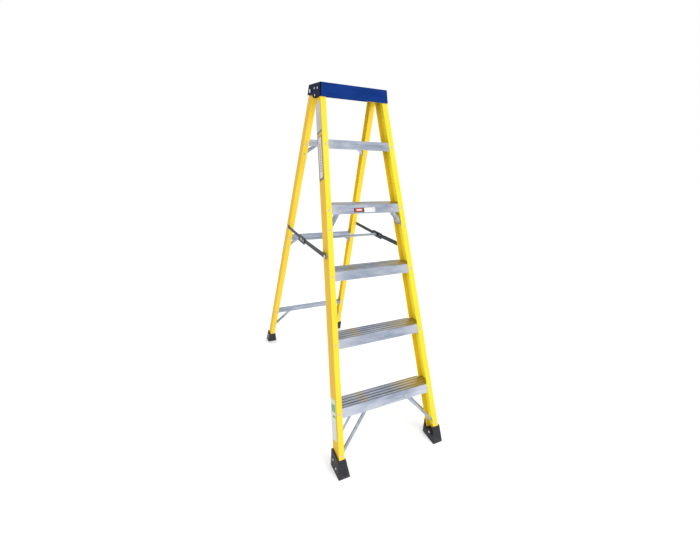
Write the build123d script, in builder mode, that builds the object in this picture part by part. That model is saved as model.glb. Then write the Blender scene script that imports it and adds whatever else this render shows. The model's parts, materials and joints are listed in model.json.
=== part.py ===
from build123d import *
from math import atan, atan2, cos, degrees, hypot, radians, sin, tan
import os

# Swing-back step ladder, standing open. Millimetres and degrees. +Z is up, the
# climbing side faces -Y and X runs to the climber's right. The origin is on the
# floor in the middle of the four feet.

# ---- driving dimensions ----
open_height = 1667.0  # floor to the top of the cap
front_angle = 20.8  # front rails from the vertical
rear_angle = 18.3  # rear rails from the vertical
front_toe_y = -653.5  # front face of the front rails, carried down to the floor
rear_toe_y = 606.5  # front face of the rear rails, carried down to the floor
base_half_width = 278.0  # outer face of the rails at the floor
side_taper = 0.0625  # how much each side comes in for each mm of height
rear_inset = 1.0  # the rear rails stand this much inside the front ones

front_depth, front_flange, front_wall = 69.0, 27.0, 3.6
rear_depth, rear_flange, rear_wall = 45.0, 28.0, 3.4

step_count = 5
step_pitch = 304.8  # along the front rails
first_step_top = 279.0  # height of the lowest tread
tread_depth, skirt_height, step_wall, step_end_gap = 78.0, 40.0, 2.2, 2.2
rib_count, rib_height, rib_width, rib_pitch, rib_start = 4, 1.4, 12.0, 17.5, 5.5

cap_bottom, cap_wall, cap_gap = 1605.0, 3.4, 0.4
pivot_height = 1636.0
pivot_radius, running_gap = 5.0, 0.06

foot_height, sole_thickness, foot_wall = 72.0, 10.0, 3.0
foot_outset, foot_splay, plug_height, lobe_size = 8.0, 15.0, 32.0, 12.0
foot_lip, foot_back_rise = 6.0, 8.0  # reach past the flange at the top; rise at the back
front_heel = 18.0

front_pin_along, front_pin_depth = 985.0, 24.0  # spreader pin on the front rail
rear_pin_along, rear_pin_depth = 961.0, 12.0  # spreader pin on the rear rail
front_arm_length, hinge_drop = 327.4, 5.0
arm_thickness, front_arm_width, rear_arm_width = 3.0, 22.0, 18.0
tie_radius, tie_bore = 7.0, 4.5

rivet_head, rivet_shank, rivet_rise = 5.0, 2.4, 2.2

# ---- frame geometry worked out from the driving dimensions ----
f_sin, f_cos = sin(radians(front_angle)), cos(radians(front_angle))
r_sin, r_cos = sin(radians(rear_angle)), cos(radians(rear_angle))
front_lean = degrees(atan(side_taper * f_cos))
rear_lean = degrees(atan(side_taper * r_cos))

# Both face planes look forwards: local x to the right, local y up the rails.
front_plane = Plane(origin=(0, front_toe_y, 0), x_dir=(1, 0, 0), z_dir=(0, -f_cos, f_sin))
rear_plane = Plane(origin=(0, rear_toe_y, 0), x_dir=(1, 0, 0), z_dir=(0, -r_cos, -r_sin))

# The outer face of the right-hand rails: local x is the world's +Y, local y up.
side_plane = Plane(origin=(base_half_width, 0, 0), x_dir=(0, 1, 0), z_dir=(1, 0, side_taper))


def front_point(along, depth):
    """World y and z of a point up the front rail and behind its front face."""
    return (front_toe_y + along * f_sin + depth * f_cos, along * f_cos - depth * f_sin)


def rear_point(along, depth):
    """World y and z of a point up the rear rail and behind its front face."""
    return (rear_toe_y - along * r_sin + depth * r_cos, along * r_cos + depth * r_sin)


def front_face_y(height):
    return front_toe_y + height * tan(radians(front_angle))


def half_width(height):
    return base_half_width - side_taper * height


def front_x(along, inset):
    """Local x on the front plane, so far in from the rail's outer edge."""
    return base_half_width - along * tan(radians(front_lean)) - inset


def rear_x(along, inset):
    return base_half_width - rear_inset - along * tan(radians(rear_lean)) - inset


def both_sides(points):
    """The points and their mirror images about the middle."""
    return points + [(-x, y) for x, y in points]


pivot_along = (pivot_height - rear_depth / 2 * r_sin) / r_cos
pivot_y, pivot_z = rear_point(pivot_along, rear_depth / 2)
front_pin = front_point(front_pin_along, front_pin_depth)
rear_pin = rear_point(rear_pin_along, rear_pin_depth)
spread_tilt = atan2(rear_pin[1] - front_pin[1], rear_pin[0] - front_pin[0])
arm_dip = atan2(hinge_drop, front_arm_length)
hinge = (
    front_pin[0] + front_arm_length * cos(spread_tilt - arm_dip),
    front_pin[1] + front_arm_length * sin(spread_tilt - arm_dip),
)

front_bush_face = half_width(front_pin[1]) + 5.8
rear_arm_x = front_bush_face - arm_thickness - 0.4
front_arm_x = front_bush_face


def save(part, name):
    part.label = name
    export_step(part, "parts/" + name + ".step")


def save_pair(part, name):
    """Writes a right-hand piece and its mirror image."""
    save(mirror(part, about=Plane.YZ), name + "_left")
    save(part, name + "_right")


def merge(parts):
    with BuildPart() as group:
        add(parts)
    return group.part


def save_both(part, name):
    """Writes a right-hand piece and its mirror image as one file of two solids."""
    save(merge([part, mirror(part, about=Plane.YZ)]), name)


# ---- rails ----
def section_plane(face, lean, edge):
    """Plane across the right-hand rail: local x inwards, local y forwards."""
    tilt = radians(lean)
    inwards = face.x_dir * -cos(tilt) + face.y_dir * -sin(tilt)
    upwards = face.x_dir * -sin(tilt) + face.y_dir * cos(tilt)
    return Plane(origin=face.origin + face.x_dir * edge, x_dir=inwards, z_dir=upwards)


def web_plane(face, section):
    """The outer face of the right-hand rail: local x backwards, local y up the rail."""
    return Plane(origin=section.origin, x_dir=face.z_dir * -1, z_dir=section.x_dir * -1)


front_section = section_plane(front_plane, front_lean, base_half_width)
rear_section = section_plane(rear_plane, rear_lean, base_half_width - rear_inset)
front_web = web_plane(front_plane, front_section)
rear_web = web_plane(rear_plane, rear_section)


def channel(section, depth, flange, wall, start, length):
    """A channel with its web outwards, from a place up the rail."""
    with BuildPart() as rail:
        with BuildSketch(section.offset(start)) as outline:
            Rectangle(flange, depth, align=(Align.MIN, Align.MAX))
            fillet(outline.vertices().group_by(Axis(section.origin, section.x_dir))[0], 2.6)
            with Locations((wall, -wall)):
                Rectangle(flange, depth - 2 * wall, align=(Align.MIN, Align.MAX), mode=Mode.SUBTRACT)
            fillet(outline.vertices().group_by(Axis(section.origin, section.x_dir))[-1], 1.0)
        extrude(amount=length)
    return rail.part


step_tops = [first_step_top + k * step_pitch * f_cos for k in range(step_count)]


def step_rivet_along(top):
    return (top - skirt_height / 2) / f_cos


def leg_rivet_along(top):
    """Where a rivet through the rear flange meets the step's inner leg."""
    return (top - 13.0 + front_depth * f_sin) / f_cos


flange_inset = 13.0  # rivets in the flanges, from the outer edge of the rail
front_step_rivets = [
    (front_x(step_rivet_along(top), flange_inset), step_rivet_along(top)) for top in step_tops
]
rear_step_rivets = [
    (front_x(leg_rivet_along(top), flange_inset), leg_rivet_along(top)) for top in step_tops
]

# Braces run from a rivet in a step's skirt down and out to one in the rail's flange.
lower_brace = [(105.0, 273.0), (front_x(97.0, flange_inset), 97.0)]
lower_rear_brace = [(105.0, 310.0), (front_x(127.0, flange_inset), 127.0)]
upper_brace = [(140.0, 1188.0), (front_x(1100.0, flange_inset), 1100.0)]

# Points on the rails' webs, as depth and distance up the rail. Each foot has two
# rivets through the web and one more through the boot's inner wall.
front_foot_points = [(24.0, 39.6), (54.0, 67.0)]
rear_foot_points = [(22.0, 22.0), (22.0, 46.0)]
front_inner_rivet, rear_inner_rivet = (26.0, 53.0), (22.0, 34.0)
# The front rails' top ends are riveted to the end walls of the cap.
cap_rivet_points = [(21.0, 1768.0), (58.0, 1784.0), (58.0, 1750.0)]

with BuildPart() as front_rail_right:
    add(channel(front_section, front_depth, front_flange, front_wall, -40, 1900))
    split(bisect_by=Plane.XY.offset(sole_thickness), keep=Keep.TOP)
    split(bisect_by=Plane.XY.offset(open_height - cap_wall - 1), keep=Keep.BOTTOM)
    with BuildSketch(front_plane):
        with Locations(*front_step_rivets, lower_brace[1], upper_brace[1]):
            Circle(rivet_shank)
    extrude(amount=-12, mode=Mode.SUBTRACT)
    with BuildSketch(front_plane.offset(-front_depth)):
        with Locations(*rear_step_rivets, lower_rear_brace[1]):
            Circle(rivet_shank)
    extrude(amount=12, mode=Mode.SUBTRACT)
    with BuildSketch(front_web):
        with Locations(*front_foot_points, *cap_rivet_points):
            Circle(rivet_shank)
    extrude(amount=-12, mode=Mode.SUBTRACT)
    with BuildSketch(Plane.YZ):
        with Locations(front_pin):
            Circle(tie_bore)
    extrude(amount=400, mode=Mode.SUBTRACT)
save_pair(front_rail_right.part, "front_rail")

# Rear crossbars sit inside the rear rails' channels, on the back of the front flanges.
bar_height, bar_depth, bar_wall = 27.0, 22.0, 2.0
bar_heights = {"lower": 270.0, "middle": 838.0, "upper": 1392.0}
bar_along = {name: height / r_cos for name, height in bar_heights.items()}


bar_rivet_offset = 6.8


def bar_rivets(along):
    x = rear_x(along, flange_inset)
    return [(x, along - bar_rivet_offset), (x, along + bar_rivet_offset)]


def under_bar(along, reach, drop):
    """Ends of a strip from a rear crossbar down to the rail's front flange."""
    foot = along - drop
    top = along - bar_rivet_offset
    return [(rear_x(along, flange_inset + reach), top), (rear_x(foot, flange_inset), foot)]


rear_strips = {
    "lower": under_bar(bar_along["lower"], 102.0, 136.0),
    "middle": under_bar(bar_along["middle"], 62.0, 58.0),
    "upper": under_bar(bar_along["upper"], 62.0, 58.0),
}
rear_flange_rivets = [p for along in bar_along.values() for p in bar_rivets(along)]
strip_feet = [ends[1] for ends in rear_strips.values()]

with BuildPart() as rear_rail_right:
    add(channel(rear_section, rear_depth, rear_flange, rear_wall, -40, 1900))
    split(bisect_by=Plane.XY.offset(sole_thickness), keep=Keep.TOP)
    # The top end is rounded about the pivot, so that it can swing inside the cap.
    with BuildSketch(Plane.YZ):
        with Locations(rear_point(pivot_along - 1000, rear_depth / 2)):
            Rectangle(rear_depth, 2000, rotation=rear_angle)
        with Locations((pivot_y, pivot_z)):
            Circle(rear_depth / 2)
    extrude(amount=400, mode=Mode.INTERSECT)
    with BuildSketch(rear_plane):
        with Locations(*rear_flange_rivets, *strip_feet):
            Circle(rivet_shank)
    extrude(amount=-12, mode=Mode.SUBTRACT)
    with BuildSketch(rear_web):
        with Locations(*rear_foot_points):
            Circle(rivet_shank)
    extrude(amount=-12, mode=Mode.SUBTRACT)
    with BuildSketch(Plane.YZ):
        with Locations((pivot_y, pivot_z)):
            Circle(pivot_radius + running_gap)
    extrude(amount=400, mode=Mode.SUBTRACT)
save_pair(rear_rail_right.part, "rear_rail")


# ---- steps ----
def leaning_panel(depth, top, drop):
    """Corners of a wall that leans with the front rails and hangs from a height."""
    y = front_face_y(top) + depth / f_cos
    run, width = drop * tan(radians(front_angle)), step_wall / f_cos
    return [(y, top), (y + width, top), (y + width - run, top - drop), (y - run, top - drop)]


# Behind, an inner leg is riveted to the rails' rear flanges, and a skirt hangs past them.
back_drop = 24.0
leg_depth = front_depth - front_wall - step_wall
back_skirt_depth = front_depth + 2.0

with BuildPart() as flange_notch:
    with BuildSketch(front_section.offset(60)):
        with Locations((-6, -front_depth + front_wall)):
            Rectangle(front_flange + 7.5, 60, align=(Align.MIN, Align.MAX))
    extrude(amount=1560)
    mirror(about=Plane.YZ)


def make_step(number, top):
    face_y = front_face_y(top) + front_wall / f_cos
    plate_top = top - rib_height
    half_length = half_width(top) - front_wall - step_end_gap
    front_holes = [front_step_rivets[number - 1]]
    if number == 1:
        front_holes.append(lower_brace[0])
    if number == 4:
        front_holes.append(upper_brace[0])
    with BuildPart() as step:
        with BuildSketch(Plane.YZ):
            Polygon(*leaning_panel(front_wall, top, skirt_height), align=None)
            Polygon(*leaning_panel(leg_depth, plate_top, back_drop), align=None)
            Polygon(*leaning_panel(back_skirt_depth, plate_top, back_drop), align=None)
            with Locations((face_y, plate_top)):
                Rectangle(tread_depth, step_wall, align=(Align.MIN, Align.MAX))
            with Locations((face_y + tread_depth, top)):
                Rectangle(5.0, 7.0, align=(Align.MAX, Align.MAX))
            for rib in range(rib_count):
                with Locations((face_y + rib_start + rib * rib_pitch, plate_top)):
                    Rectangle(rib_width, rib_height, align=(Align.MIN, Align.MIN))
        extrude(amount=half_length, both=True)
        add(flange_notch.part, mode=Mode.SUBTRACT)
        with BuildSketch(front_plane):
            with Locations(*both_sides(front_holes)):
                Circle(rivet_shank)
        extrude(amount=-12, mode=Mode.SUBTRACT)
        with BuildSketch(front_plane.offset(-front_depth)):
            with Locations(*both_sides([rear_step_rivets[number - 1]])):
                Circle(rivet_shank)
        extrude(amount=8, mode=Mode.SUBTRACT)
        if number == 1:
            with BuildSketch(front_plane.offset(-front_depth)):
                with Locations(*both_sides([lower_rear_brace[0]])):
                    Circle(rivet_shank)
            extrude(amount=-12, mode=Mode.SUBTRACT)
    return step.part


for index, top in enumerate(step_tops):
    save(make_step(index + 1, top), "step_" + str(index + 1))


# ---- feet ----
def make_foot(face, section, web, rail, depth, flange, wall, heel, outer_at, inner_at):
    """A moulded boot: a sole, walls on three sides of the rail's end and a plug inside it."""

    edge = face.to_local_coords(section.origin).X

    def side_edge(along, out):
        return edge - along * side_taper * face.y_dir.Z + out

    def corner(along):
        splay = foot_lip + foot_splay * (1 - along / foot_height)
        return (side_edge(along, -flange - splay), along)

    low, high = -30.0, 110.0
    with BuildPart() as space:
        with BuildSketch(section.offset(-40)):
            with Locations((wall, -wall)):
                Rectangle(flange + 60, depth - 2 * wall, align=(Align.MIN, Align.MAX))
        extrude(amount=200)
        split(bisect_by=Plane.XY.offset(plug_height), keep=Keep.TOP)
    front_y = face.origin.Y - foot_wall
    rising_top = Plane(
        origin=(0, front_y, foot_height), x_dir=(1, 0, 0), z_dir=(0, -foot_back_rise, depth)
    )
    # The heel reaches backwards at the floor and dies out at the boot's top edge.
    back_y = face.origin.Y + (depth + foot_wall) / face.y_dir.Z
    top_run = (foot_height + foot_back_rise) * face.y_dir.Y / face.y_dir.Z
    heel_face = Plane(
        origin=(0, back_y + heel, 0),
        x_dir=(1, 0, 0),
        z_dir=(0, foot_height + foot_back_rise, heel - top_run),
    )
    with BuildPart() as foot:
        with BuildSketch(face.offset(foot_wall)):
            Polygon(
                (side_edge(low, foot_outset), low),
                (side_edge(high, foot_outset), high),
                corner(high),
                corner(low),
                align=None,
            )
        extrude(amount=-depth - 2 * foot_wall - heel)
        split(bisect_by=Plane.XY, keep=Keep.TOP)
        split(bisect_by=rising_top, keep=Keep.BOTTOM)
        if heel:
            split(bisect_by=heel_face, keep=Keep.BOTTOM)
        upright = foot.edges().filter_by(lambda edge: abs(edge.tangent_at(0.5).Z) > 0.8)
        fillet(upright, 2.5)
        add(space.part, mode=Mode.SUBTRACT)
        # A round lobe stands on the plug's inner edge and carries a rivet of its own.
        with BuildSketch(web.offset(-flange - foot_splay)):
            with Locations(inner_at):
                Circle(lobe_size)
        extrude(amount=foot_splay - foot_wall)
        with BuildSketch(web.offset(-flange - foot_splay)):
            with Locations(inner_at):
                Circle(rivet_shank)
        extrude(amount=foot_splay, mode=Mode.SUBTRACT)
        add(rail, mode=Mode.SUBTRACT)
        with BuildSketch(web.offset(20)):
            with Locations(*outer_at):
                Circle(rivet_shank)
        extrude(amount=-20 - wall, mode=Mode.SUBTRACT)
        # Pockets in the plug clear the outer rivets' tails.
        with BuildSketch(web.offset(-wall)):
            with Locations(*outer_at):
                Circle(rivet_head)
        extrude(amount=-2, mode=Mode.SUBTRACT)
        with BuildSketch():
            with GridLocations(200, 14, 1, 5):
                with Locations((edge, face.origin.Y + depth / 2)):
                    Rectangle(160, 3)
        extrude(amount=2, mode=Mode.SUBTRACT)
    return foot.part


front_foot = make_foot(
    front_plane,
    front_section,
    front_web,
    front_rail_right.part,
    front_depth,
    front_flange,
    front_wall,
    front_heel,
    front_foot_points,
    front_inner_rivet,
)
save_pair(front_foot, "front_foot")
rear_foot = make_foot(
    rear_plane,
    rear_section,
    rear_web,
    rear_rail_right.part,
    rear_depth,
    rear_flange,
    rear_wall,
    0,
    rear_foot_points,
    rear_inner_rivet,
)
save_pair(rear_foot, "rear_foot")


# ---- cap ----
def rear_back_y(height):
    return rear_toe_y - height * tan(radians(rear_angle)) + rear_depth / r_cos


cap_front_low = front_face_y(cap_bottom) - (cap_wall + cap_gap)
cap_front_high = cap_front_low + 12.0
cap_back_low = rear_back_y(cap_bottom) + cap_wall + 9.0
cap_back_high = rear_back_y(open_height) + cap_wall + 15.0
cap_back_rise = 16.0  # the lower edge is this much higher at the back
slant = hypot(1, side_taper)  # lengths up a side wall, against heights
lobe_y, lobe_bottom, lobe_radius, lobe_reach = 7.0, 1599.0, 125.0, 50.0
tray_margin, tray_depth = 9.0, 1.2
boss_radius, boss_face = 9.5, half_width(pivot_height) + 4.6


def cap_outline(height, front, back, inwards):
    """Draws the cap's rectangle at a height, so far inside its outer faces."""
    half = half_width(height) + cap_gap + cap_wall - inwards
    with BuildSketch(Plane.XY.offset(height)) as outline:
        with Locations((0, (front + back) / 2)):
            Rectangle(2 * half, back - front - 2 * inwards)
    return outline.sketch


cap_lower_edge = Plane(
    origin=(0, cap_front_low, cap_bottom),
    x_dir=(1, 0, 0),
    z_dir=(0, -cap_back_rise, cap_back_low - cap_front_low),
)
with BuildPart() as top_cap:
    add(cap_outline(cap_bottom, cap_front_low, cap_back_low, 0))
    add(cap_outline(open_height, cap_front_high, cap_back_high, 0))
    loft()
    fillet(top_cap.edges().filter_by(lambda edge: abs(edge.tangent_at(0.5).Z) > 0.8), 5.0)
    fillet(top_cap.edges().group_by(Axis.Z)[-1], 2.5)
    add(cap_outline(cap_bottom, cap_front_low, cap_back_low, cap_wall))
    add(cap_outline(open_height - cap_wall, cap_front_high - 0.6, cap_back_high + 1.1, cap_wall))
    loft(mode=Mode.SUBTRACT)
    split(bisect_by=cap_lower_edge, keep=Keep.TOP)
    with BuildSketch(Plane.XY.offset(open_height)):
        with Locations((0, (cap_front_high + cap_back_high) / 2)):
            RectangleRounded(
                2 * (half_width(open_height) - tray_margin),
                cap_back_high - cap_front_high - 2 * tray_margin,
                8,
            )
    extrude(amount=-tray_depth, mode=Mode.SUBTRACT)
    # The end walls hang lower in the middle, below the legs' fastenings.
    with BuildSketch(side_plane.offset(cap_gap)):
        with Locations((lobe_y, (lobe_bottom + lobe_radius) * slant)):
            Circle(lobe_radius)
        with Locations((lobe_y, lobe_bottom * slant)):
            Rectangle(2 * lobe_reach, 36, mode=Mode.INTERSECT)
    extrude(amount=cap_wall)
    with BuildSketch(Plane.YZ.offset(boss_face)):
        with Locations((pivot_y, pivot_z)):
            Circle(boss_radius)
    extrude(amount=-2.4)
    with BuildSketch(front_web):
        with Locations(*cap_rivet_points):
            Circle(rivet_shank)
    extrude(amount=12, mode=Mode.SUBTRACT)
    with BuildSketch(Plane.YZ.offset(half_width(pivot_height) - 8)):
        with Locations((pivot_y, pivot_z)):
            Circle(pivot_radius)
    extrude(amount=30, mode=Mode.SUBTRACT)
    split(bisect_by=Plane.YZ, keep=Keep.TOP)
    mirror(about=Plane.YZ)
save(top_cap.part, "top_cap")

# ---- rear crossbars ----
for name, along in bar_along.items():
    half_length = rear_x(along + bar_height / 2, rear_wall + 0.8)
    with BuildPart() as bar:
        with BuildSketch(rear_plane.offset(-rear_wall)):
            with Locations((0, along)):
                Rectangle(2 * half_length, bar_height)
        extrude(amount=-bar_wall)
        with BuildSketch(rear_plane.offset(-rear_wall)):
            with Locations((0, along + bar_height / 2)):
                Rectangle(2 * half_length, bar_wall, align=(Align.CENTER, Align.MAX))
        extrude(amount=-bar_depth)
        with BuildSketch(rear_plane):
            with Locations(*both_sides(bar_rivets(along) + [rear_strips[name][0]])):
                Circle(rivet_shank)
        extrude(amount=-12, mode=Mode.SUBTRACT)
    save(bar.part, "rear_bar_" + name)

# ---- braces ----
brace_wall, ear_radius = 2.0, 8.5


def make_brace(face, ends, width, web, pad):
    """An angle strip between two rivets, with flat round ears and its web behind."""
    (x1, y1), (x2, y2) = ends
    length = hypot(x2 - x1, y2 - y1)
    along = face.x_dir * ((x2 - x1) / length) + face.y_dir * ((y2 - y1) / length)
    middle = face.from_local_coords(((x1 + x2) / 2, (y1 + y2) / 2, 0))
    strip_plane = Plane(origin=middle, x_dir=along, z_dir=face.z_dir)
    with BuildPart() as brace:
        with BuildSketch(strip_plane):
            Rectangle(length, width)
            with Locations((-length / 2, 0), (length / 2, 0)):
                Circle(ear_radius)
        extrude(amount=-brace_wall)
        with BuildSketch(strip_plane):
            with Locations((0, width / 2)):
                Rectangle(length - 3.4 * ear_radius, brace_wall, align=(Align.CENTER, Align.MAX))
        extrude(amount=-web)
        if pad:
            with BuildSketch(strip_plane):
                with Locations((length / 2, 0)):
                    Circle(ear_radius)
            extrude(amount=pad)
        with BuildSketch(strip_plane.offset(6)):
            with Locations((-length / 2, 0), (length / 2, 0)):
                Circle(rivet_shank)
        extrude(amount=-12, mode=Mode.SUBTRACT)
    return brace.part


skirt_back = front_plane.offset(-front_wall - step_wall)
save_pair(make_brace(skirt_back, lower_brace, 12.0, 10.0, step_wall), "lower_front_brace")
save_pair(make_brace(skirt_back, upper_brace, 13.0, 42.0, step_wall), "upper_front_brace")
rail_back = front_plane.offset(-front_depth)
save_pair(make_brace(rail_back, lower_rear_brace, 12.0, 2.0, 0), "lower_rear_brace")
bar_back = rear_plane.offset(-rear_wall - bar_wall)
for name, ends in rear_strips.items():
    save_pair(make_brace(bar_back, ends, 14.0, 9.0, bar_wall), "rear_strip_" + name)


# ---- spreaders ----
def make_arm(x, start, end, width, start_hole, end_hole):
    """A flat arm between two pins, with its inner face at x."""
    length = hypot(end[0] - start[0], end[1] - start[1])
    turn = degrees(atan2(end[1] - start[1], end[0] - start[0]))
    with BuildPart() as arm:
        with BuildSketch(Plane.YZ.offset(x)):
            with Locations(((start[0] + end[0]) / 2, (start[1] + end[1]) / 2)):
                SlotCenterToCenter(length, width, rotation=turn)
            with Locations(start):
                Circle(start_hole, mode=Mode.SUBTRACT)
            with Locations(end):
                Circle(end_hole, mode=Mode.SUBTRACT)
        extrude(amount=arm_thickness)
        chamfer(arm.faces().sort_by(Axis.X)[-1].outer_wire().edges(), 0.6)
    return arm.part


loose, tight = tie_bore + running_gap, tie_bore
lock_rivet_reach = 32.0
lock_rivet = (
    hinge[0] - lock_rivet_reach * cos(spread_tilt),
    hinge[1] - lock_rivet_reach * sin(spread_tilt),
)
with BuildPart() as front_arm_right:
    add(make_arm(front_arm_x, front_pin, hinge, front_arm_width, loose, tight))
    with BuildSketch(Plane.YZ.offset(front_arm_x)):
        with Locations(lock_rivet):
            Circle(rivet_shank)
    extrude(amount=arm_thickness, mode=Mode.SUBTRACT)
save_pair(front_arm_right.part, "front_arm")
save_pair(make_arm(rear_arm_x, hinge, rear_pin, rear_arm_width, loose, tight), "rear_arm")

# The lock plate is riveted to the front arm. Its folded top edge stops the rear arm.
lock_length, lock_height, lock_wall, lip = 100.0, 34.0, 2.0, 3.0
lock_x = front_arm_x + arm_thickness
lock_plane = Plane(
    origin=(0, hinge[0], hinge[1]), x_dir=(0, cos(spread_tilt), sin(spread_tilt)), z_dir=(1, 0, 0)
)
with BuildPart() as lock_plate_right:
    with BuildSketch(lock_plane.offset(lock_x)):
        with Locations((0, front_arm_width / 2 + lip)):
            RectangleRounded(lock_length, lock_height, 5, align=(Align.CENTER, Align.MAX))
        with Locations((0, 0)):
            Circle(tight, mode=Mode.SUBTRACT)
        with Locations((-lock_rivet_reach, 0)):
            Circle(rivet_shank, mode=Mode.SUBTRACT)
    extrude(amount=lock_wall)
    with BuildSketch(lock_plane.offset(rear_arm_x)):
        with Locations((0, front_arm_width / 2 + 1.0)):
            Rectangle(lock_length - 10, lip - 1.0, align=(Align.CENTER, Align.MIN))
    extrude(amount=lock_x + 0.5 * lock_wall - rear_arm_x)
    with BuildSketch(lock_plane.offset(rear_arm_x)):
        with Locations((14, rear_arm_width / 2 + 1.4)):
            Rectangle(26, front_arm_width / 2 - rear_arm_width / 2, align=(Align.MIN, Align.MIN))
    extrude(amount=arm_thickness)
save_pair(lock_plate_right.part, "lock_plate")

tie_end = rear_arm_x - 0.3
with BuildPart() as tie_bar:
    with BuildSketch(Plane.YZ):
        with Locations(hinge):
            Circle(tie_radius)
            Circle(tie_bore, mode=Mode.SUBTRACT)
    extrude(amount=tie_end, both=True)
save(tie_bar.part, "tie_bar")


# ---- pins, bolts and rivets ----
def make_pin(centre, inner, outer, radius, head_radius, head_height):
    """A round pin along X with a domed head at its outer end."""
    with BuildPart() as pin:
        with BuildSketch(Plane.YZ.offset(inner)):
            with Locations(centre):
                Circle(radius)
        extrude(amount=outer - inner)
        with BuildSketch(Plane.YZ.offset(outer)):
            with Locations(centre):
                Circle(head_radius)
        extrude(amount=head_height)
        fillet(pin.edges().group_by(Axis.X)[-1], 0.6 * head_height)
    return pin.part


def make_nut(centre, outer, bore, across):
    with BuildPart() as nut:
        with BuildSketch(Plane.YZ.offset(outer)):
            with Locations(centre):
                RegularPolygon(across / 2, 6, major_radius=False)
                Circle(bore, mode=Mode.SUBTRACT)
        extrude(amount=-6)
    return nut.part


hinge_outer = lock_x + lock_wall
lock_rivet_part = make_pin(lock_rivet, front_arm_x + 0.2, hinge_outer, rivet_shank, 5.0, 2.2)
hinge_pin_part = make_pin(hinge, tie_end - 14, hinge_outer, tie_bore, 8.0, 3.0)
save_both(merge([hinge_pin_part, lock_rivet_part]), "hinge_pins")
front_pin_nut = half_width(front_pin[1] + 9) - front_wall - 1.0
front_pin_part = make_pin(
    front_pin, front_pin_nut - 8, front_arm_x + arm_thickness + 0.4, tie_bore, 8.0, 3.5
)
save_both(front_pin_part, "front_pins")
save_both(make_nut(front_pin, front_pin_nut, tie_bore, 14.0), "front_pin_nuts")
with BuildPart() as front_bush:
    with BuildSketch(Plane.YZ.offset(front_arm_x - 0.4)):
        with Locations(front_pin):
            Circle(9.5)
            Circle(tie_bore, mode=Mode.SUBTRACT)
    extrude(amount=-9)
    split(bisect_by=side_plane, keep=Keep.TOP)
save_both(front_bush.part, "front_pin_bushes")

# The rear pin rides with the rear arm and stops 0.3 mm short of the rail's face.
rear_pin_inner = half_width(rear_pin[1] - 9) - rear_inset + 0.3
with BuildPart() as rear_pin_right:
    add(make_pin(rear_pin, rear_pin_inner, rear_arm_x + arm_thickness, tight, 7.5, 2.8))
    with BuildSketch(Plane.YZ.offset(rear_pin_inner)):
        with Locations(rear_pin):
            Circle(8.5)
    extrude(amount=rear_arm_x - rear_pin_inner)
save_both(rear_pin_right.part, "rear_pins")

pivot = (pivot_y, pivot_z)
pivot_nut = half_width(pivot_height + 9) - rear_inset - rear_wall - 0.8
save_both(make_pin(pivot, pivot_nut - 8, boss_face, pivot_radius, 8.5, 4.0), "pivot_bolts")
save_both(make_nut(pivot, pivot_nut, pivot_radius, 15.0), "pivot_nuts")


def make_rivets(face, points, grip, facing=1):
    """A group of rivets whose heads stand on a plane, all of one grip."""
    with BuildPart() as group:
        with BuildSketch(face):
            with Locations(*points):
                Circle(rivet_head)
        extrude(amount=facing * rivet_rise)
        outwards = Axis(face.origin, face.z_dir * facing)
        fillet(group.edges().group_by(outwards)[-1], 0.8 * rivet_rise)
        with BuildSketch(face):
            with Locations(*points):
                Circle(rivet_shank)
        extrude(amount=-facing * grip)
        with BuildSketch(face.offset(-facing * grip)):
            with Locations(*points):
                Circle(0.8 * rivet_head)
        extrude(amount=-facing * 1.4)
    return group.part


step_rivets = make_rivets(front_plane, both_sides(front_step_rivets), front_wall + step_wall)
save(step_rivets, "step_front_rivets")
rail_back_face = front_plane.offset(-front_depth)
leg_rivets = make_rivets(
    rail_back_face, both_sides(rear_step_rivets), front_wall + step_wall, facing=-1
)
save(leg_rivets, "step_rear_rivets")

skirt_face = front_plane.offset(-front_wall)
brace_tops = both_sides([lower_brace[0], upper_brace[0]])
brace_feet = both_sides([lower_brace[1], upper_brace[1]])
back_skirt_face = front_plane.offset(-back_skirt_depth - step_wall)
rear_brace_foot_face = front_plane.offset(-front_depth - brace_wall)
brace_rivets = [
    make_rivets(skirt_face, brace_tops, step_wall + brace_wall),
    make_rivets(front_plane, brace_feet, front_wall + step_wall + brace_wall),
    make_rivets(back_skirt_face, both_sides([lower_rear_brace[0]]), step_wall + brace_wall, -1),
    make_rivets(rear_brace_foot_face, both_sides([lower_rear_brace[1]]), front_wall + brace_wall, -1),
]
save(merge(brace_rivets), "front_brace_rivets")

all_bar_rivets = [p for along in bar_along.values() for p in bar_rivets(along)]
save(make_rivets(rear_plane, both_sides(all_bar_rivets), rear_wall + bar_wall), "rear_bar_rivets")
strip_tops = both_sides([ends[0] for ends in rear_strips.values()])
strip_rivets = [
    make_rivets(rear_plane.offset(-rear_wall), strip_tops, bar_wall + brace_wall),
    make_rivets(rear_plane, both_sides(strip_feet), rear_wall + bar_wall + brace_wall),
]
save(merge(strip_rivets), "rear_strip_rivets")


def make_web_rivets(web, offset, points, grip):
    """Rivets through a right-hand rail's web, and their mirror images."""
    right = make_rivets(web.offset(offset), points, grip)
    return merge([right, mirror(right, about=Plane.YZ)])


# The cap's end walls stand off the rails by a little more towards the back.
cap_rivets = []
for point in cap_rivet_points:
    head = cap_gap + cap_wall + point[0] * side_taper * f_sin + 0.12
    cap_rivets.append(make_web_rivets(front_web, head, [point], head + front_wall))
save(merge(cap_rivets), "cap_rivets")


def make_foot_rivets(web, outer_at, inner_at, flange, wall):
    """Rivets through a boot's cheek into the rail, and one through its inner wall."""
    cheek = foot_outset / hypot(1, side_taper)
    outer = make_web_rivets(web, cheek, outer_at, cheek + wall)
    inner = make_rivets(web.offset(-flange - foot_splay), [inner_at], foot_splay - foot_wall, -1)
    return merge([outer, inner, mirror(inner, about=Plane.YZ)])


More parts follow.
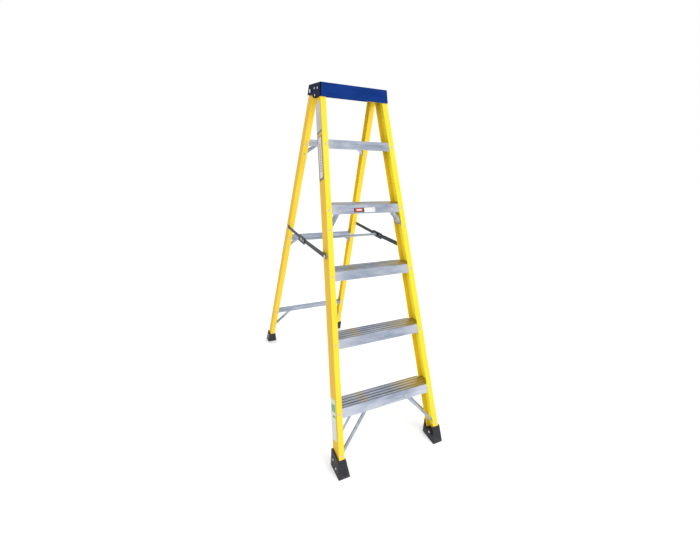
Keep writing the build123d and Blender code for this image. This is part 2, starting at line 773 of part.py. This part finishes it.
save(
    make_foot_rivets(front_web, front_foot_points, front_inner_rivet, front_flange, front_wall),
    "front_foot_rivets",
)
save(
    make_foot_rivets(rear_web, rear_foot_points, rear_inner_rivet, rear_flange, rear_wall),
    "rear_foot_rivets",
)


# ---- labels: thin stickers on the left front rail and on the fourth step ----
sticker = 0.3


def make_side_label(start, end, near, far):
    """A sticker on the outside of the left front rail, between two depths."""
    with BuildPart() as label:
        with BuildSketch(side_plane):
            Polygon(
                front_point(start, near),
                front_point(start, far),
                front_point(end, far),
                front_point(end, near),
                align=None,
            )
        extrude(amount=sticker)
    return mirror(label.part, about=Plane.YZ)


save(make_side_label(1554.0, 1704.0, 5.0, 64.0), "label_upper")
save(make_side_label(1340.0, 1546.0, 10.0, 62.0), "label_middle")
save(make_side_label(156.0, 342.0, 14.0, 60.0), "label_lower")
with BuildPart() as step_label:
    with BuildSketch(skirt_face):
        with Locations((-11.0, 1188.0)):
            Rectangle(114.0, 21.0)
    extrude(amount=sticker)
save(step_label.part, "label_step")
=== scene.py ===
import json
from math import cos, radians, sin, tan

import bpy
from mathutils import Matrix, Vector


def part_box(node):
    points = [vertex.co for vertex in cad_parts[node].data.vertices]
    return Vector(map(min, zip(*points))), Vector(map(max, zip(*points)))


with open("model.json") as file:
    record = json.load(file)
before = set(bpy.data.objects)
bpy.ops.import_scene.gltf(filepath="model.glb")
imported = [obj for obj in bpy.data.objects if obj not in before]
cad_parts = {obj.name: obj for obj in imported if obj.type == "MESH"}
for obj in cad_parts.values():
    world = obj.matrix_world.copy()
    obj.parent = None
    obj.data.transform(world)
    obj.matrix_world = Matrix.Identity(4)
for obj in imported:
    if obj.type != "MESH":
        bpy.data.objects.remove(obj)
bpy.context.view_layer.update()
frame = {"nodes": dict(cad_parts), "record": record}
scene = bpy.context.scene
print("frame loaded:", len(frame["nodes"]), "nodes")


# shader maths: a socket that works in Python expressions
class Shade:
    def __init__(self, tree, socket):
        self.tree, self.socket = tree, socket

    def op(self, operation, *values):
        sockets = {i: v for i, v in enumerate(values)}
        return build(self.tree, "Math", {"operation": operation}, sockets)

    def __add__(self, other):
        return self.op("ADD", self, other)

    def __sub__(self, other):
        return self.op("SUBTRACT", self, other)

    def __rsub__(self, other):
        return self.op("SUBTRACT", other, self)

    def __mul__(self, other):
        return self.op("MULTIPLY", self, other)

    def __mod__(self, other):
        return self.op("FLOORED_MODULO", self, other)

    def __neg__(self):
        return self * -1

    __radd__, __rmul__ = __add__, __mul__

    def away(self, centre):
        # distance from a value, always positive
        return self.op("ABSOLUTE", self - centre)

    def either(self, other):
        # the larger of two values
        return self.op("MAXIMUM", self, other)

    def rise(self, low, high):
        # 0 at low and 1 at high, smooth between; low may be the larger
        sockets = {"Value": self, "From Min": low, "From Max": high}
        return build(self.tree, "MapRange", {"interpolation_type": "SMOOTHSTEP"}, sockets)


def build(tree, kind, settings=None, sockets=None, output=0):
    # adds one node: its settings first, then the values or links of its sockets
    node = tree.nodes.new("ShaderNode" + kind)
    for name, value in (settings or {}).items():
        setattr(node, name, value)
    for name, value in (sockets or {}).items():
        if isinstance(value, Shade):
            tree.links.new(value.socket, node.inputs[name])
        else:
            node.inputs[name].default_value = value
    return Shade(tree, node.outputs[output]) if node.outputs else None


def mix(fac, a, b, blend="MIX"):
    # from colour a to colour b; a plain colour is three numbers
    a, b = [v if isinstance(v, Shade) else (*v, 1) for v in (a, b)]
    settings = {"data_type": "RGBA", "blend_type": blend}
    return build(fac.tree, "Mix", settings, {0: fac, 6: a, 7: b}, 2)


def place(tree, turn=(0, 0, 0), stretch=(1, 1, 1)):
    # object coordinates, turned first and then stretched
    spot = build(tree, "TexCoord", output=3)
    turned = build(tree, "Mapping", {}, {"Vector": spot, "Rotation": turn})
    return build(tree, "Mapping", {}, {"Vector": turned, "Scale": stretch})


def noise(tree, spot, scale, detail, rough):
    sockets = {"Vector": spot, "Scale": scale, "Detail": detail, "Roughness": rough}
    return build(tree, "TexNoise", {}, sockets)


def split(spot):
    # x, y and z of a vector
    return [build(spot.tree, "SeparateXYZ", {}, {0: spot}, i) for i in range(3)]


def bump(height, distance):
    return build(height.tree, "Bump", {}, {"Height": height, "Distance": distance})


def newMaterial(name):
    material = bpy.data.materials.new(name)
    material.use_nodes = True
    material.node_tree.nodes.clear()
    return material, material.node_tree


def finishMaterial(tree, **sockets):
    # the last two nodes: the surface shader and the output
    named = {name.replace("_", " "): value for name, value in sockets.items()}
    for name, value in named.items():
        if isinstance(value, tuple) and len(value) == 3:
            named[name] = (*value, 1)
    shader = build(tree, "BsdfPrincipled", {}, named)
    build(tree, "OutputMaterial", {}, {"Surface": shader})


def wear(material, nodes):
    # the named nodes of the frame get the material
    for name in nodes:
        for slot in frame["nodes"][name].material_slots:
            slot.material = material


def nodesOf(*slots):
    return [s["node"] for s in frame["record"]["subparts"] if s["material_slot"] in slots]


# rails: pultruded glass fibre, with faint streaks along each rail
fibre = {
    "yellow": (0.84, 0.575, 0.030),
    "deepYellow": (0.74, 0.43, 0.015),
    "paleYellow": (0.88, 0.66, 0.052),
    "scuffed": (0.45, 0.38, 0.20),
    # painted shade on the left rails' -x faces, and painted light on the right rails' -x faces
    "leftPaintedShade": (0.80, 0.72, 0.70),
    "rightPaintedLight": (0.98, 0.90, 0.055),
    "paintedLightShare": 0.85,
    "frontAngle": 20.8,
    "rearAngle": -18.3,
    "lean": 3.58,
    "drawnOut": 0.025,
    "streakScale": 420,
    "bandScale": 60,
    "cloudScale": 7,
    "grainScale": 1500,
    "scuffScale": 55,
    "scuffTurn": 0.6,
    "scuffShare": 0.12,
    "relief": 0.00025,
    "roughness": 0.42,
    "shine": 0.16,
}


def fibreMaterial(name, slope, lean, side):
    # noise stretched forty times along the rail, plus a broad change of tone
    material, tree = newMaterial(name)
    along = place(tree, (radians(slope), radians(lean), 0), (1, 1, fibre["drawnOut"]))
    streaks = noise(tree, along, fibre["streakScale"], 4, 0.6)
    bands = noise(tree, along, fibre["bandScale"], 2, 0.5)
    cloud = noise(tree, place(tree), fibre["cloudScale"], 3, 0.5)
    grain = noise(tree, place(tree), fibre["grainScale"], 2, 0.6)
    colour = mix(cloud.rise(0.3, 0.7) * 0.30, fibre["yellow"], fibre["paleYellow"])
    darker = streaks.rise(0.50, 0.75) * 0.30 + bands.rise(0.5, 0.8) * 0.25
    colour = mix(darker, colour, fibre["deepYellow"])
    scuffSpot = place(tree, (0, 0, fibre["scuffTurn"]), (1, 1, 0.4))
    scuffs = noise(tree, scuffSpot, fibre["scuffScale"], 5, 0.7).rise(0.66, 0.78)
    colour = mix(scuffs * fibre["scuffShare"], colour, fibre["scuffed"])
    # painted shade and light: faces towards -x are painted darker on the left rails and painted
    # brighter on the right rails
    paintedSideMask = (-split(build(tree, "NewGeometry", output=1))[0]).rise(0.55, 0.95)
    if side == "left":
        colour = mix(paintedSideMask, colour, fibre["leftPaintedShade"], "MULTIPLY")
    else:
        colour = mix(paintedSideMask * fibre["paintedLightShare"], colour, fibre["rightPaintedLight"])
    finishMaterial(
        tree,
        Base_Color=colour,
        Roughness=streaks * 0.12 + scuffs * 0.2 + fibre["roughness"],
        Normal=bump(streaks * 0.7 + bands * 0.5 + grain * 0.12, fibre["relief"]),
        Specular_IOR_Level=fibre["shine"],
    )
    return material


for side, lean in (("left", -fibre["lean"]), ("right", fibre["lean"])):
    for end in ("front", "rear"):
        name = "fibre" + end.title() + "_" + side
        material = fibreMaterial(name, fibre[end + "Angle"], lean, side)
        wear(material, [end + "_rail_" + side])
print("rails finished")

# cap: dark blue moulded plastic, its end walls darker
cap = {
    "blue": (0.0035, 0.024, 0.140),
    "paleBlue": (0.0065, 0.033, 0.175),
    "navy": (0.0012, 0.0055, 0.024),
    "scratched": (0.10, 0.14, 0.36),
    "scratchShare": 0.10,
    "endLean": 3.576,
    "endBand": 0.0048,
    "endSoftness": 0.0008,
    "pebbleScale": 900,
    "cloudScale": 26,
    "scratchScale": 180,
    "scratchTurn": 0.2,
    "relief": 0.0002,
    "roughness": 0.40,
    "shine": 0.04,
}
capLow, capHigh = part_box("top_cap")


def capMaterial():
    # a fine leather-like pebble, cloudy colour, and navy where x is near the ends
    material, tree = newMaterial("capPlastic")
    spot = place(tree)
    x, y, z = split(spot)
    sockets = {"Vector": spot, "Scale": cap["pebbleScale"]}
    pebble = build(tree, "TexVoronoi", {"feature": "SMOOTH_F1"}, sockets)
    cloud = noise(tree, place(tree, (0, 0, 0), (0.3, 1, 1)), cap["cloudScale"], 4, 0.6)
    # the end walls lean in, so their distance from the middle is taken at the cap's foot
    endAt = capHigh.x - cap["endBand"]
    reach = x.away(0) + (z - capLow.z) * tan(radians(cap["endLean"]))
    ends = reach.rise(endAt - cap["endSoftness"], endAt)
    colour = mix(cloud.rise(0.35, 0.7), cap["blue"], cap["paleBlue"])
    colour = mix(ends, colour, cap["navy"])
    scratchSpot = place(tree, (0, cap["scratchTurn"], 0), (0.15, 1, 1))
    scratches = noise(tree, scratchSpot, cap["scratchScale"], 4, 0.7).rise(0.62, 0.74)
    colour = mix(scratches * cap["scratchShare"], colour, cap["scratched"])
    finishMaterial(
        tree,
        Base_Color=colour,
        Roughness=cloud * 0.2 + scratches * 0.15 + cap["roughness"],
        Normal=bump(pebble * 0.6 + cloud * 0.3, cap["relief"]),
        Specular_IOR_Level=cap["shine"],
    )
    return material


wear(capMaterial(), nodesOf("cap"))
print("cap finished")

# aluminium: bluish mill finish with streaks along the extrusion
aluminium = {
    "pale": (0.50, 0.54, 0.62),
    "blue": (0.20, 0.25, 0.35),
    # dark streaks of the extrusion, and painted shade in the tread grooves
    "darkStreaksAndGrooveShade": (0.042, 0.036, 0.034),
    "skirtEnd": (0.66, 0.68, 0.76),
    # painted reflections of the yellow rails on the treads and in their grooves
    "railReflectionAndPatch": (0.52, 0.42, 0.20),
    "grooveRailReflection": (0.60, 0.42, 0.06),
    "drawnOut": 0.03,
    "cloudsDrawnOut": 0.28,
    "streakScale": 700,
    "bandScale": 130,
    "cloudScale": 42,
    "patchScale": 13,
    "metal": 0.88,
    "roughness": 0.2,
    "relief": 0.00022,
    "braceTurn": 0.9,
    "stepPitch": 0.28494,
    "firstTop": 0.279,
}


def treadColour(tree, colour, clouds, patches):
    # painted shade and some dirt in the grooves, painted reflections of the rails' yellow on the
    # treads and in the grooves, pale ends on the skirts
    x, y, z = split(place(tree))
    pitch = aluminium["stepPitch"]
    below = pitch - (z - aluminium["firstTop"] + 0.0001) % pitch
    flat = split(build(tree, "NewGeometry", output=1))[2].rise(0.6, 0.9)
    groove = below.rise(0.0004, 0.0011) * below.rise(0.003, 0.0018) * flat
    # painted reflection of the yellow rails, strongest towards the right rail, with a
    # yellow-brown patch near x = -0.115
    railReflectionAndPatch = x.rise(-0.02, 0.17) * (patches.rise(0.3, 0.6) * 0.4 + 0.5)
    railReflectionAndPatch = railReflectionAndPatch.either(x.away(-0.115).rise(0.035, 0.0) * patches.rise(0.35, 0.5) * 0.6)
    colour = mix(flat * railReflectionAndPatch, colour, aluminium["railReflectionAndPatch"])
    # painted shade and some dirt in the grooves
    dirt = groove * (clouds.rise(0.2, 0.8) * 0.25 + 0.72)
    colour = mix(dirt, colour, aluminium["darkStreaksAndGrooveShade"])
    # painted reflection of the right rail's yellow in the grooves
    colour = mix(groove * x.rise(0.06, 0.19) * 0.75, colour, aluminium["grooveRailReflection"])
    ends = x.away(0).rise(0.10, 0.20) * (1 - flat)
    return mix(ends * 0.55, colour, aluminium["skirtEnd"]), groove


def aluminiumMaterial(name, tone, turn=(0, 0, 0), treads=False):
    # fine streaks and soft clouds, both stretched along x after the turn
    material, tree = newMaterial(name)
    drawn = place(tree, turn, (aluminium["drawnOut"], 1, 1))
    cloudSpot = place(tree, turn, (aluminium["cloudsDrawnOut"], 1, 1))
    streaks = noise(tree, drawn, aluminium["streakScale"], 3, 0.6)
    bands = noise(tree, drawn, aluminium["bandScale"], 2, 0.5)
    clouds = noise(tree, cloudSpot, aluminium["cloudScale"], 5, 0.65)
    patches = noise(tree, cloudSpot, aluminium["patchScale"], 2, 0.5)
    mottle = clouds.rise(0.32, 0.68) * 0.5 + patches.rise(0.35, 0.65) * 0.5
    colour = mix(mottle * tone + (1 - tone) * 0.5, aluminium["blue"], aluminium["pale"])
    colour = mix(bands.rise(0.55, 0.8) * 0.35, colour, aluminium["darkStreaksAndGrooveShade"])
    rough = streaks * 0.18 + clouds * 0.12 + aluminium["roughness"]
    if treads:
        colour, groove = treadColour(tree, colour, clouds, patches)
        rough = rough + groove * 0.2
    finishMaterial(
        tree,
        Base_Color=colour,
        Metallic=aluminium["metal"],
        Roughness=rough,
        Normal=bump(streaks * 0.6 + bands * 0.5 + clouds * 0.15, aluminium["relief"]),
    )
    return material


wear(aluminiumMaterial("stepAluminium", 1.0, treads=True), nodesOf("step"))
wear(aluminiumMaterial("barAluminium", 0.8), nodesOf("rear_bar"))
wear(aluminiumMaterial("tieAluminium", 0.6), nodesOf("tie_bar"))
for side, turn in (("left", -aluminium["braceTurn"]), ("right", aluminium["braceTurn"])):
    # the strips under the rear crossbars are turned like the braces
    braces = [n for n in nodesOf("brace", "rear_bar") if n.endswith("_" + side)]
    wear(aluminiumMaterial("braceAluminium_" + side, 0.9, (0, turn, 0)), braces)
print("aluminium finished")

# dark zinc-plated steel on the spreaders, and brighter metal on the fasteners
steel = {
    "plate": (0.030, 0.040, 0.038),
    "plateWorn": (0.17, 0.20, 0.19),
    "bolt": (0.42, 0.43, 0.43),
    "boltWorn": (0.7, 0.7, 0.7),
    "rivet": (0.46, 0.46, 0.44),
    "rivetWorn": (0.75, 0.75, 0.75),
    "crystalScale": 260,
    "cloudScale": 60,
    "scuffScale": 240,
    "scuffShare": 0.45,
    "lighter": 1.6,
    "metal": 0.7,
    "relief": 0.00015,
}


def steelMaterial(name, kind, rough):
    # crystalline zinc patches with pale scuffs
    material, tree = newMaterial(name)
    spot = place(tree)
    crystals = build(tree, "TexVoronoi", {}, {"Vector": spot, "Scale": steel["crystalScale"]}, 1)
    grey = build(tree, "RGBToBW", {}, {0: crystals})
    clouds = noise(tree, spot, steel["cloudScale"], 5, 0.65)
    scuffSpot = place(tree, (0, 0, 0), (1, 0.15, 1))
    scuffs = noise(tree, scuffSpot, steel["scuffScale"], 4, 0.7).rise(0.58, 0.72)
    lighter = tuple(c * steel["lighter"] for c in steel[kind])
    colour = mix(grey * 0.4 + clouds * 0.3, steel[kind], lighter)
    colour = mix(scuffs * steel["scuffShare"], colour, steel[kind + "Worn"])
    finishMaterial(
        tree,
        Base_Color=colour,
        Metallic=steel["metal"],
        Roughness=clouds * 0.2 + grey * 0.08 + rough,
        Normal=bump(clouds * 0.5 + scuffs * 0.4, steel["relief"]),
    )
    return material


wear(steelMaterial("spreaderSteel", "plate", 0.36), nodesOf("spreader"))
wear(steelMaterial("boltSteel", "bolt", 0.22), nodesOf("bolt"))
wear(steelMaterial("rivetAluminium", "rivet", 0.25), nodesOf("rivet"))
print("steel finished")

# feet: charcoal rubber with a fine grain, dustier near the floor
rubber = {
    "charcoal": (0.017, 0.018, 0.024),
    "paleCharcoal": (0.027, 0.028, 0.035),
    "dust": (0.16, 0.155, 0.15),
    "dustHeight": 0.03,
    "dustShare": 0.35,
    "grainScale": 1400,
    "cloudScale": 45,
    "relief": 0.0003,
    "roughness": 0.5,
    "shine": 0.25,
}


def rubberMaterial():
    # two charcoals in clouds, with dust that fades out upwards
    material, tree = newMaterial("footRubber")
    spot = place(tree)
    height = split(spot)[2]
    grain = noise(tree, spot, rubber["grainScale"], 3, 0.65)
    clouds = noise(tree, spot, rubber["cloudScale"], 4, 0.6)
    dust = height.rise(rubber["dustHeight"], 0.0) * clouds.rise(0.35, 0.75)
    colour = mix(clouds.rise(0.3, 0.7), rubber["charcoal"], rubber["paleCharcoal"])
    colour = mix(dust * rubber["dustShare"], colour, rubber["dust"])
    finishMaterial(
        tree,
        Base_Color=colour,
        Roughness=clouds * 0.15 + dust * 0.2 + rubber["roughness"],
        Normal=bump(grain * 0.6 + clouds * 0.6, rubber["relief"]),
        Specular_IOR_Level=rubber["shine"],
    )
    return material


wear(rubberMaterial(), nodesOf("foot"))
print("feet finished")

# stickers: blocks of colour with no lettering, placed in metres
sticker = {
    "ink": (0.05, 0.045, 0.05),
    "dirt": (0.55, 0.50, 0.42),
    "toeY": -0.6535,
    "speckScale": 220,
    "relief": 0.00008,
    "roughness": 0.32,
    "coat": 0.3,
    "softEdge": 0.0006,
}


def stickerSpot(tree):
    # distance up the front rail and behind its face
    x, y, z = split(place(tree))
    s, c = sin(radians(fibre["frontAngle"])), cos(radians(fibre["frontAngle"]))
    return (y - sticker["toeY"]) * s + z * c, (y - sticker["toeY"]) * c - z * s


def within(value, low, high):
    # 1 between two limits and 0 outside them
    soft = sticker["softEdge"]
    return value.rise(low - soft, low + soft) * value.rise(high + soft, high - soft)


def stickerMaterial(name, paint):
    material, tree = newMaterial(name)
    speck = noise(tree, place(tree), sticker["speckScale"], 4, 0.6)
    colour = mix(speck.rise(0.55, 0.8) * 0.15, paint(tree), sticker["dirt"])
    finishMaterial(
        tree,
        Base_Color=colour,
        Roughness=speck * 0.15 + sticker["roughness"],
        Normal=bump(speck, sticker["relief"]),
        Coat_Weight=sticker["coat"],
    )
    return material


upperSticker = {
    "top": (0.43, 0.39, 0.38),
    "foot": (0.39, 0.36, 0.28),
    "fade": (1.66, 1.60),
    "line": (0.25, 0.26, 0.29),
    "linePitch": 0.014,
    "lineLimits": (0.003, 0.006),
    "lineDepths": (0.014, 0.055),
    "linedPart": (1.60, 1.65),
    "bar": (0.10, 0.09, 0.09),
    "barLimits": (1.556, 1.568),
}


def paintUpper(tree):
    # warm grey above, browner below, and a dark bar along the bottom
    look = upperSticker
    along, depth = stickerSpot(tree)
    colour = mix(along.rise(*look["fade"]), look["top"], look["foot"])
    lines = within(along % look["linePitch"], *look["lineLimits"])
    lines = lines * within(depth, *look["lineDepths"]) * within(along, *look["linedPart"])
    colour = mix(lines * 0.45, colour, look["line"])
    return mix(within(along, *look["barLimits"]), colour, look["bar"])


middleSticker = {
    "rim": (0.44, 0.40, 0.36),
    "panel": (0.54, 0.50, 0.46),
    "dash": (0.16, 0.15, 0.17),
    "middleDepth": 0.036,
    "middleAlong": 1.443,
    "halfWidth": 0.008,
    "halfLength": 0.085,
    "rimEdge": (0.0118, 0.0106),
    "panelEdge": (0.0088, 0.0080),
    "dashPitch": 0.0125,
    "dashLimits": (0.0022, 0.0098),
    "dashDepths": (-0.01, 0.0075),
    "dashReach": 0.066,
}


def paintMiddle(tree):
    # a long pale panel with round corners in a dark frame, and a row of plain dashes;
    # edge is the distance from a small rectangle in the sticker's middle
    look = middleSticker
    along, depth = stickerSpot(tree)
    across = depth.away(look["middleDepth"])
    ends = along.away(look["middleAlong"])
    sideways = (across - look["halfWidth"]).either(0)
    lengthways = (ends - look["halfLength"]).either(0)
    square = sideways * sideways + lengthways * lengthways
    edge = square.op("SQRT", square)
    colour = mix(edge.rise(*look["rimEdge"]), sticker["ink"], look["rim"])
    colour = mix(edge.rise(*look["panelEdge"]), colour, look["panel"])
    dash = within(along % look["dashPitch"], *look["dashLimits"])
    dash = dash * within(across, *look["dashDepths"]) * within(ends, -1, look["dashReach"])
    return mix(dash * 0.85, colour, look["dash"])


lowerSticker = {
    "white": (0.52, 0.57, 0.58),
    "greenish": (0.50, 0.59, 0.49),
    "fade": (0.20, 0.33),
    "green": (0.05, 0.26, 0.13),
    "largePatch": ((0.283, 0.318), (0.018, 0.054)),
    "smallPatch": ((0.258, 0.270), (0.018, 0.046)),
    "line": (0.35, 0.37, 0.38),
    "linePitch": 0.009,
    "lineLimits": (0.002, 0.0045),
    "lineDepths": (0.018, 0.056),
    "linedPart": (0.165, 0.245),
}


def paintLower(tree):
    # a white notice with two green patches above
    look = lowerSticker
    along, depth = stickerSpot(tree)
    colour = mix(along.rise(*look["fade"]), look["white"], look["greenish"])
    patches = []
    for alongLimits, depthLimits in (look["largePatch"], look["smallPatch"]):
        patches.append(within(along, *alongLimits) * within(depth, *depthLimits))
    colour = mix(patches[0].either(patches[1]), colour, look["green"])
    lines = within(along % look["linePitch"], *look["lineLimits"])
    lines = lines * within(depth, *look["lineDepths"]) * within(along, *look["linedPart"])
    return mix(lines * 0.35, colour, look["line"])


stepSticker = {
    "black": (0.03, 0.028, 0.03),
    "grey": (0.70, 0.69, 0.68),
    "red": (0.62, 0.035, 0.025),
    "white": (0.85, 0.80, 0.78),
    "line": (0.40, 0.38, 0.38),
    "box": (0.12, 0.12, 0.14),
    "stepsBelow": 3,
    "drop": 0.0236,
    "change": (-0.0135, -0.0125),
    "redBlock": ((-0.060, -0.022), (-0.0065, 0.0065)),
    "whiteBlock": ((-0.053, -0.028), (-0.0022, 0.0022)),
    "linePitch": 0.0042,
    "lineLimits": (0.0012, 0.0026),
    "lineReach": (-0.008, 0.026),
    "boxOutside": ((0.030, 0.042), (-0.006, 0.006)),
    "boxInside": ((0.032, 0.040), (-0.004, 0.004)),
}


def paintStep(tree):
    # black, red and white blocks on the left, pale grey with lines on the right
    look = stepSticker
    x, y, z = split(place(tree))
    steps = look["stepsBelow"] * aluminium["stepPitch"]
    up = z - (aluminium["firstTop"] + steps - look["drop"])

    def block(name):
        return within(x, *look[name][0]) * within(up, *look[name][1])

    colour = mix(x.rise(*look["change"]), look["black"], look["grey"])
    colour = mix(block("redBlock"), colour, look["red"])
    colour = mix(block("whiteBlock"), colour, look["white"])
    lines = within(up % look["linePitch"], *look["lineLimits"]) * within(x, *look["lineReach"])
    colour = mix(lines * 0.4, colour, look["line"])
    outline = block("boxOutside") * (1 - block("boxInside"))
    return mix(outline * 0.7, colour, look["box"])


wear(stickerMaterial("stickerUpper", paintUpper), ["label_upper"])
wear(stickerMaterial("stickerMiddle", paintMiddle), ["label_middle"])
wear(stickerMaterial("stickerLower", paintLower), ["label_lower"])
wear(stickerMaterial("stickerStep", paintStep), ["label_step"])
print("stickers finished")

# floor, light and camera
studio = {
    "floorSize": 60.0,
    "floor": (0.90, 0.90, 0.90),
    "floorGlow": 0.16,
    "floorRoughness": 0.9,
    "sky": (1.0, 1.0, 1.0),
    "skyStrength": 1.0,
    "aim": (0, 0, 0.85),
    # where each lamp stands, its diameter and its power in watts
    "lamps": {
        "keyLamp": ((1.2, -3.2, 2.6), 2.6, 66),
        "fillLamp": ((-2.6, -1.0, 2.0), 2.4, 5),
        "topLamp": ((0.4, 0.6, 4.0), 3.0, 8),
    },
}

# yaw turns to the right of +Y, pitch is up, and roll is about the line of sight
view = {
    "spot": (-0.8398, -1.7643, 1.4193),
    "yaw": 27.827,
    "pitch": -17.872,
    "roll": 3.426,
    "lens": 18.962,
    "sensor": 36.0,
    "shiftX": -0.01191,
    "shiftY": -0.02837,
    "nearest": 0.05,
    "farthest": 200,
}


def makeFloor():
    # a flat square about the origin
    half = studio["floorSize"] / 2
    corners = [(-half, -half, 0), (half, -half, 0), (half, half, 0), (-half, half, 0)]
    mesh = bpy.data.meshes.new("studioFloor")
    mesh.from_pydata(corners, [], [(0, 1, 2, 3)])
    floor = bpy.data.objects.new("studioFloor", mesh)
    scene.collection.objects.link(floor)
    material, tree = newMaterial("studioFloor")
    finishMaterial(
        tree,
        Base_Color=studio["floor"],
        Roughness=studio["floorRoughness"],
        Specular_IOR_Level=0.0,
        Emission_Color=studio["floor"],
        Emission_Strength=studio["floorGlow"],
    )
    mesh.materials.append(material)


def makeLamp(name, spot, size, power):
    lamp = bpy.data.lights.new(name, "AREA")
    lamp.shape, lamp.size, lamp.energy = "DISK", size, power
    holder = bpy.data.objects.new(name, lamp)
    scene.collection.objects.link(holder)
    # seen as light on the surfaces, and not as a bright disc mirrored in the metal
    holder.visible_glossy = False
    towards = Vector(studio["aim"]) - Vector(spot)
    turn = towards.to_track_quat("-Z", "Y").to_matrix().to_4x4()
    holder.matrix_world = Matrix.Translation(spot) @ turn


def makeCamera():
    yaw, pitch, roll = (radians(view[k]) for k in ("yaw", "pitch", "roll"))
    ahead = Vector((sin(yaw) * cos(pitch), cos(yaw) * cos(pitch), sin(pitch)))
    right = Vector((cos(yaw), -sin(yaw), 0))
    up = right.cross(ahead)
    rightRolled = right * cos(roll) + up * sin(roll)
    upRolled = up * cos(roll) - right * sin(roll)
    data = bpy.data.cameras.new("camera")
    data.sensor_width, data.lens = view["sensor"], view["lens"]
    data.shift_x, data.shift_y = view["shiftX"], view["shiftY"]
    data.clip_start, data.clip_end = view["nearest"], view["farthest"]
    camera = bpy.data.objects.new("camera", data)
    scene.collection.objects.link(camera)
    turn = Matrix((rightRolled, upRolled, -ahead)).transposed().to_4x4()
    camera.matrix_world = Matrix.Translation(view["spot"]) @ turn
    scene.camera = camera


def makeWorld():
    world = bpy.data.worlds.new("studio")
    world.use_nodes = True
    scene.world = world
    background = world.node_tree.nodes["Background"]
    background.inputs["Color"].default_value = (*studio["sky"], 1)
    background.inputs["Strength"].default_value = studio["skyStrength"]


makeFloor()
for name, (spot, size, power) in studio["lamps"].items():
    makeLamp(name, spot, size, power)
makeCamera()
makeWorld()
scene.view_settings.view_transform = "Standard"
print("studio ready")
